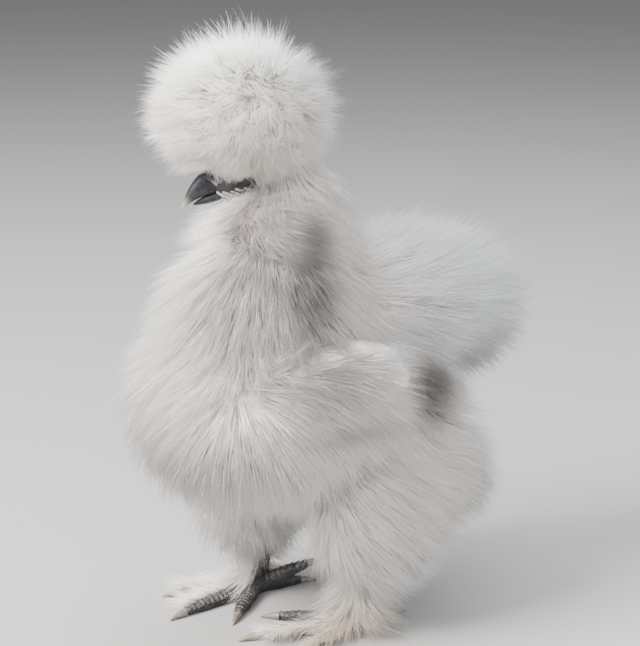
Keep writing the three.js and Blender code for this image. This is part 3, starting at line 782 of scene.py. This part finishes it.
def room_at_face(places, part):
    """How far places are clear of the beak and of the bare strip of cheek beside it."""
    local = (places - head_origin) @ head_axes
    out, side, up = local[..., 0], local[..., 1], local[..., 2]
    over_beak = np.clip((out - 13) / 7, 0, 1)
    # the crest ends over the brow and higher over the beak, and the beard ends under the beak
    if part == "crest":
        room = up - (3.8 + 0.13 * np.abs(side) + over_beak * (8 + 0.25 * np.maximum(side, 0)))
    elif part == "beard":
        room = np.where(out < 29, 2.2 - 0.12 * np.clip(out, 0, 40) - up, -6 - up)
    else:
        room = np.maximum(up - 6.5, -1 - up)
    return np.where((out > -1) & (np.abs(side) < 45), room, 1.0)


def clear_face(hairs, part, rng):
    """The share of each hair that is left when it is trimmed clear of the face, 0 where it starts there."""
    at_root, at_tip = room_at_face(hairs, part).T
    crossing = at_root / np.maximum(at_root - at_tip, 1e-6) * rng.uniform(0.8, 1, len(hairs))
    return np.where(at_root <= 0, 0, np.where(at_tip <= 0, crossing, 1))


def finish_coat(name, part, look, lines, ups, hairs, tuft_of, rng):
    """One coat as a finished piece, with a width and a tone of its own for each hair."""
    widths = look["width"] * rng.uniform(0.75, 1.25, len(hairs))
    tones = rng.normal(*tuft_tone, len(lines))[tuft_of] + rng.normal(*hair_tone, len(hairs))
    unwrap = unwrap_on_skin(lines[:, 0])[tuft_of]
    mesh = hair_mesh(name, hairs, ups[tuft_of, 0], widths, unwrap, np.clip(tones, 0, 1))
    slot = "saddle_plumage" if part in ("cushion", "tail") else "plumage"
    nodes = [part] if part else []
    new_piece_from_mesh(name, mesh, slot, soft_plumage, *nodes)


def lay_coat(name, part, look, keep=None):
    """The coat of a part as one piece, or only the stretch of it that is kept."""
    rng = np.random.default_rng(seed + sum(map(ord, name)))
    seats = even_roots(part, look["space"], rng)
    seats = seats[seats[:, 2] > lowest_root]
    if keep is not None:
        seats = seats[keep(seats)]
    lines, ups = comb_tufts(look, seats, rng)
    hairs, tuft_of = split_hairs(lines, ups, look, rng)
    if part in ("crest", "beard", "neck"):
        left = clear_face(hairs, part, rng)
        kept = left > shortest_left
        hairs, tuft_of = trim(hairs, left)[kept], tuft_of[kept]
    hairs[..., 2] = np.maximum(hairs[..., 2], off_floor)
    finish_coat(name, part, look, lines, ups, hairs, tuft_of, rng)


# How a coat lies. It flows away from one point, easing near it, with a steady pull, and its tufts drift and
# sway off it. A tip stands this high over the outline, by how far it is towards the back and foot of the
# body. The hairs of a tuft spread, gather, puff up, stray and curl; the shortest is this share of its length.
soft = {
    "ease": 1, "drift": 0.25, "sway": 0.2, "tip": ((0,), (1,)), "ragged": 1.6, "wisps": 0.05,
    "hairs": 16, "spread": 3, "gather": 0.95, "puff": 0.8, "stray": 1.9, "curl": 0.176,
    "shortest": 0.4, "width": 0.352,
}

# The down of the face. Short, soft down grows from the skin of the brow, the cheeks and the chin and lies
# back from the beak. The beak, the eyes and the strip of cheek beside the mouth stay bare.
down_space = 2.8
down_length = (5, 8)
down_root = 0.8
eye_ring = 7
brow_low, brow_front = 5.2, 15
chin_high, chin_front = 1.6, 18
parting = 3
face_look = {
    **soft, "from": tuple(head_origin + head_axes @ np.array((40, 0, 3))), "pull": (0, 0, 0),
    "hairs": 14, "spread": 1.2, "gather": 1.2, "puff": 1, "stray": 1, "curl": 0.118,
    "shortest": 0.3, "width": 0.192,
}
rng = np.random.default_rng(seed)
seats, ways = [], []
for middle, radii in head_forms[:3]:
    way = spiral_ways(int(sum(radii) ** 2 / down_space))
    seats.append(way * radii + middle)
    ways.append(unit(way / np.array(radii)))
seats, ways = np.concatenate(seats), np.concatenate(ways)
from_eye = np.linalg.norm(seats * (1, 0, 1) + np.abs(seats * (0, 1, 0)) - np.array(eye_place), axis=1)
on_brow = (seats[:, 2] > brow_low) & (seats[:, 0] < brow_front)
on_chin = (seats[:, 2] < chin_high) & (seats[:, 0] < chin_front)
downy = (from_eye > eye_ring) & (on_brow | on_chin)
seats, ways = seats[downy], ways[downy]
above = seats[:, 2:] > parting
ways = unit(ways * np.where(above, 1, 0.5) + np.where(above, (-0.4, 0, 0.6), (-0.9, 0, -0.3)))
reach = rng.uniform(*down_length, (len(seats), 1))
lines = np.stack([seats - ways * down_root, seats + ways * reach], axis=1)
lines = lines @ head_axes.T + head_origin
ups = np.broadcast_to((unit(ways) @ head_axes.T)[:, None], lines.shape)
hairs, tuft_of = split_hairs(lines, ups, face_look, rng)
finish_coat("face_coat", None, face_look, lines, ups, hairs, tuft_of, rng)

# The crest. A globe of fine soft feathers stands on the skin of the crown like a powder puff, and droops
# over the eyes at its lower edge. It parts here into a front and a back.
crest_parting = -21
crest_look = {
    **soft, "from": (-10, -8, 262), "ease": 25, "pull": (0, 0, 0), "space": 1.85, "long": 13, "drift": 0.55,
    "sway": 0.4, "ragged": 1.8, "wisps": 0.12, "spread": 2.4, "gather": 1.1, "puff": 1, "stray": 2.4,
    "width": 0.288,
}
lay_coat("crest_front_coat", "crest", crest_look, lambda p: p[:, 1] < crest_parting)
lay_coat("crest_back_coat", "crest", crest_look, lambda p: p[:, 1] >= crest_parting)

# The beard and muffs. Full, loose feathers grow from the skin of the throat and cheeks and fall away from
# the beak, over the top of the neck.
beard_look = {
    **soft, "from": (-20, -40, 212), "pull": (0, 0, -0.4), "space": 1.9, "long": 18, "tip": ((0,), (4,)),
    "width": 0.288,
}
lay_coat("beard_coat", "beard", beard_look)

# The hackle. Longer feathers grow from the back of the head and the neck, and fall all round over the
# shoulders.
neck_look = {
    **soft, "from": (-4, -12, 235), "pull": (0, 0, -1), "space": 2.9, "long": 25, "tip": ((0,), (2,)),
}
lay_coat("neck_coat", "neck", neck_look)

# The breast and back. The plumage of the body is long and loose, rooted all over its skin, and parted here
# at the middle of the body. Low on the breast it fans out backwards over the flank.
body_look = {
    **soft, "from": (0, -25, 195), "pull": (0, 0, -0.4), "fan": (39, -63, 126), "fan_reach": 50,
    "space": 3, "long": 26, "tip": ((0,), (3,)), "ragged": 2,
}


def on_back(seats):
    """The back half of the body, thinned out in the soiled hollow under the tail."""
    in_hollow = np.linalg.norm((seats - (58, 37, 117)) / (18, 17, 18), axis=1) <= 1
    return (seats[:, 1] >= 0) & (~in_hollow | (seats[:, 2] % 1 > 0.7))


lay_coat("breast_coat", "torso", body_look, lambda p: p[:, 1] < 0)
lay_coat("back_coat", "torso", body_look, on_back)

# The wings. A silkie's wing feathers have no stiff vane, so the folded wings hang soft over the flanks and
# end in the plumage of the back.
wing_end = 2
for part, x in (("wing_left", 50), ("wing_right", -50)):
    wing_look = {
        **soft, "from": (x, -60, 185), "pull": (x / 200, 0.6, 0), "space": 2.6, "long": 23,
        "tip": ((-130, -105, -85), (-5, 0, 5)),
    }
    lay_coat(part + "_coat", part, wing_look, lambda p: p[:, 1] < wing_end)

# The cushion and the tail. The plumage of the lower back swells up into a cushion, and the short, soft tail
# behind it makes one round mass with it, tinted cooler on top by painted light from above.
cushion_look = {
    **soft, "from": (0, 0, 160), "pull": (0, 0.5, 0), "space": 2.9, "long": 24, "drift": 0.4,
}
lay_coat("cushion_coat", "cushion", cushion_look)
tail_look = {
    **soft, "from": (0, 40, 160), "pull": (0, 0.4, -0.3), "space": 2.4, "long": 23, "drift": 0.5,
    "ragged": 2.6, "wisps": 0.12,
}
lay_coat("tail_coat", "tail", tail_look)

# The thighs. Their long fluff is rooted in the skin of the legs above the hocks, and hangs over the hocks
# to the feet.
for part, start in (("thigh_left", (40, -50, 108)), ("thigh_right", (-42, -54, 108))):
    thigh_look = {**soft, "from": start, "pull": (start[0] / 60, 0.1, -0.35), "space": 3, "long": 25}
    lay_coat(part + "_coat", part, thigh_look)

# The feathering of the feet. Soft feathers grow from the outer side of each shank and along the outer and
# middle toes, and sweep out and forwards over the foot, flat to the ground and warmed by painted light
# reflected up from it.
shank_tufts = 130
toe_tufts = 54
foot_look = {**soft, "pull": (0, 0, 0), "hairs": 22, "gather": 1, "stray": 2.2}
for leg in legs:
    rng = np.random.default_rng(seed + leg["outer"])
    ankle, hock = Vector(leg["ankle"]), Vector(leg["hock"])
    ahead, outer = foot_way(leg), foot_way(leg, 90)
    starts, ways, lengths = [], [], []
    for i in range(shank_tufts):
        up_shank = (i + 0.5) / shank_tufts
        round_leg = math.radians(rng.uniform(-105, 110))
        way = outer * math.cos(round_leg) + ahead * math.sin(round_leg)
        starts.append(ankle.lerp(hock, 0.02 + 0.75 * up_shank) + way * 3.5)
        ways.append(way + Vector((0, 0, -0.15 - 0.6 * up_shank)))
        lengths.append(rng.uniform(20, 33) * (1.05 - 0.35 * up_shank))
    for toe in toes[1:3]:
        for i in range(toe_tufts):
            share = (i + 0.5) / toe_tufts * 0.9
            start = toe_place(leg, toe, share)
            along = (toe_place(leg, toe, share + 0.1) - start).normalized()
            sideways = rng.uniform(0.2, 1)
            starts.append(start + Vector((0, 0, 1.8)) + outer * 1.2)
            lifted = Vector((0, 0, rng.uniform(0.1, 0.55)))
            ways.append(along * (1.1 - 0.6 * sideways) + outer * sideways + lifted)
            lengths.append(rng.uniform(14, 26) * (1.1 - 0.3 * share))
    starts, ways, lengths = np.array(starts), unit(np.array(ways)), np.array(lengths)[:, None]
    droop = np.array((0, 0, -0.15))
    lines = np.stack([starts, starts + (ways + droop) * lengths], axis=1)
    lines[..., 2] = np.maximum(lines[..., 2], 2.2)
    ups = np.broadcast_to(np.array((0, 0, 1.0)), lines.shape)
    foot_look["from"] = tuple(ankle + Vector((0, 0, 30)))
    hairs, tuft_of = split_hairs(lines, ups, foot_look, rng)
    hairs[..., 2] = np.maximum(hairs[..., 2], 0.8)
    finish_coat("foot_{side}_coat".format(**leg), None, foot_look, lines, ups, hairs, tuft_of, rng)

# The camera stands to the bird's left front, a little above her back, and looks slightly down.
eye_at = bring_home @ Vector((668.7, -509.0, 349.4))
look_at = bring_home @ Vector((-19.4, 28.6, 131.7))
camera = bpy.data.objects.new("camera", bpy.data.cameras.new("camera"))
camera.location = eye_at
camera.rotation_euler = (look_at - eye_at).to_track_quat("-Z", "Y").to_euler()
camera.data.lens = 109
camera.data.sensor_width = 36
bpy.context.scene.collection.objects.link(camera)
bpy.context.scene.camera = camera

# The floor is a plain pale sheet. Four soft boxes light the bird: a strong one from the upper left, and
# weaker ones from the front, from the right and from above.
pale_floor, tree, shader = new_finish("pale_floor")
sheet_colour = mix_in_tint(tree, (0.42, 0.41, 0.405), (0.38, 0.375, 0.37), blotches(tree, 300))
tree.links.new(sheet_colour, shader.inputs["Base Color"])
shader.inputs["Roughness"].default_value = 0.8
ground = bmesh.new()
bmesh.ops.create_grid(ground, x_segments=1, y_segments=1, size=6)
ground_mesh = bpy.data.meshes.new("floor")
ground.to_mesh(ground_mesh)
ground.free()
ground_mesh.materials.append(pale_floor)
floor = bpy.data.objects.new("floor", ground_mesh)
bpy.context.scene.collection.objects.link(floor)

back_way = (eye_at - look_at).normalized()
right_way = Vector((0, 0, 1)).cross(back_way).normalized()
for name, right, up, back, size, power, colour in (
    ("key_light", -1.0, 0.8, 0.7, 0.8, 87, (1, 0.985, 0.96)),
    ("front_light", -0.2, 0.35, 1.3, 1.0, 18, (1, 0.985, 0.97)),
    ("fill_light", 1.1, 0.45, 0.5, 1.2, 11, (0.9, 0.95, 1)),
    ("top_light", 0.1, 1.3, -0.3, 0.9, 22, (0.97, 0.98, 1)),
):
    box = bpy.data.lights.new(name, "AREA")
    box.size = size
    box.energy = power
    box.color = colour
    lamp = bpy.data.objects.new(name, box)
    lamp.location = look_at + right_way * right + Vector((0, 0, up)) + back_way * back
    lamp.rotation_euler = (look_at - lamp.location).to_track_quat("-Z", "Y").to_euler()
    bpy.context.scene.collection.objects.link(lamp)
world = bpy.data.worlds.new("studio")
world.use_nodes = True
world.node_tree.nodes["Background"].inputs["Color"].default_value = (0.62, 0.64, 0.67, 1)
world.node_tree.nodes["Background"].inputs["Strength"].default_value = 0.5
bpy.context.scene.world = world
